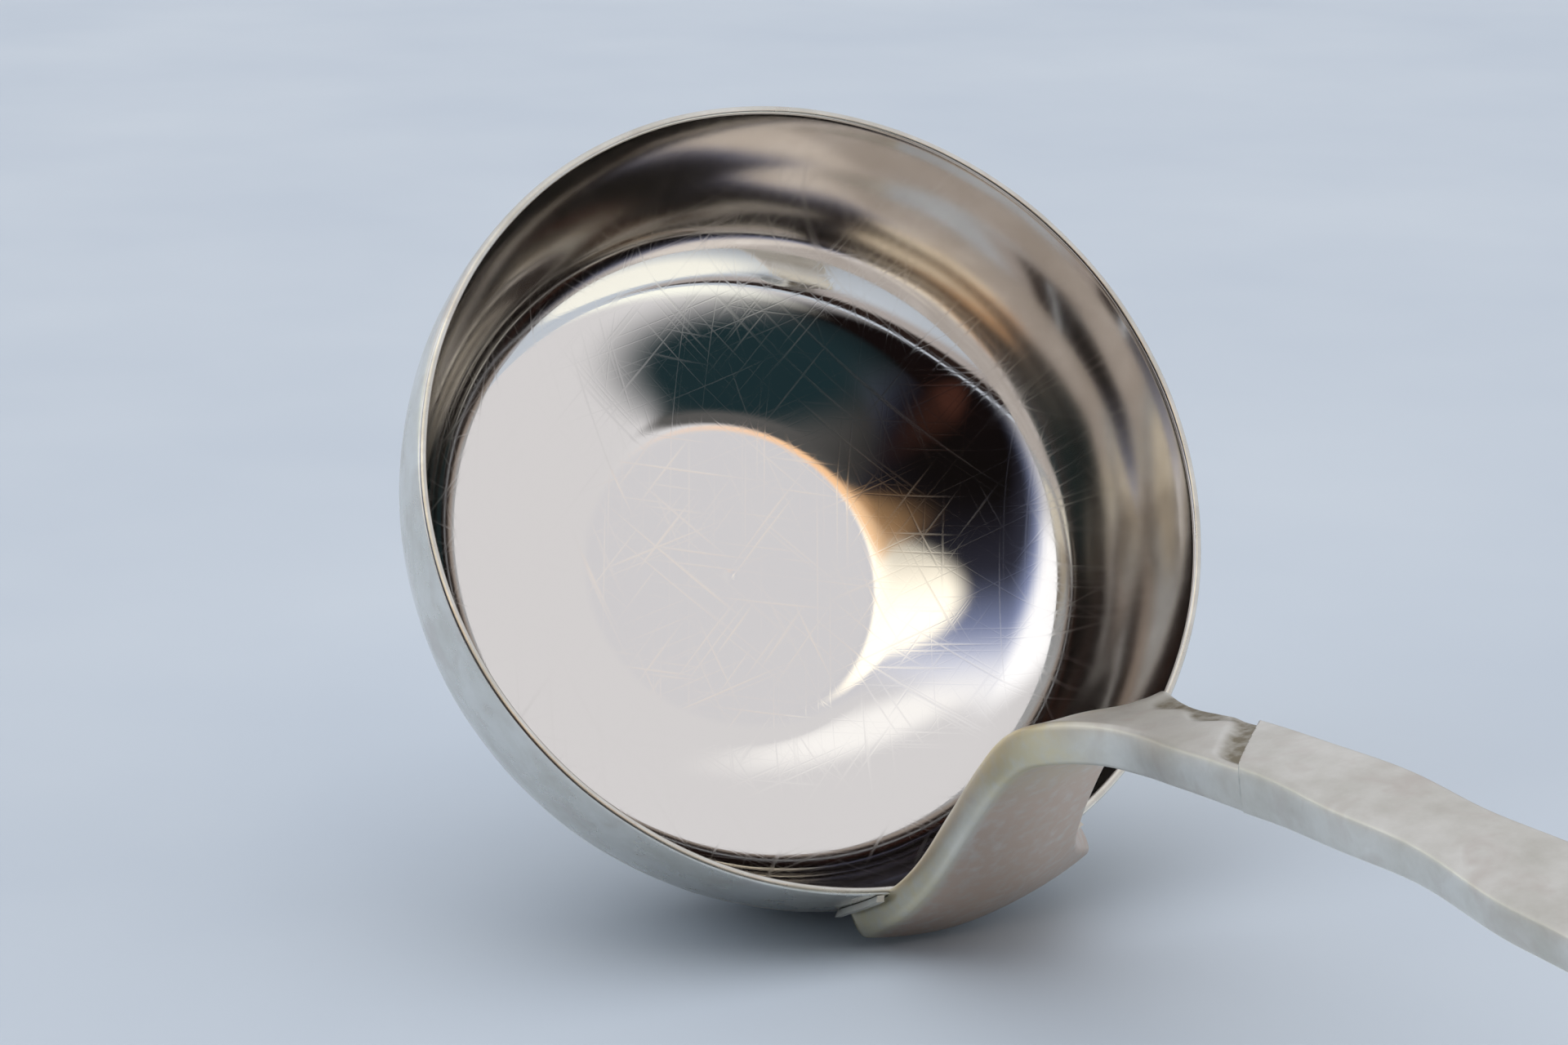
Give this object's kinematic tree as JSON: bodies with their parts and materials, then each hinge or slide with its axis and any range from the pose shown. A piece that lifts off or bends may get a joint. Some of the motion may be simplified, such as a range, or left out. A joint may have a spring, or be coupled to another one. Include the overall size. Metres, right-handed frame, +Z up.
{
  "type": "sauce ladle",
  "caption": "Small silver sauce ladle with a deep round bowl, flat at the bottom, and an arched strap handle that widens to a rounded end.",
  "frame": {"origin": "centre of the bounding box at table height, with the ladle lying on the table as it comes to rest", "axes": "+X along the handle, from the bowl to the handle's end; +Z up from the table; +Y to the handle's right"},
  "size_m": [0.1684, 0.0602, 0.0558],
  "materials": {
    "polished_silver": "polished silver with fine scratches",
    "satin_silver": "worn satin silver, lightly tarnished",
    "silver_solder": "bright yellowish silver solder"
  },
  "bodies": {
    "root": {"bowl": "polished_silver", "shoulder": "satin_silver", "stem": "satin_silver", "solder_bead_left": "silver_solder", "solder_bead_right": "silver_solder"}
  },
  "joints": []
}
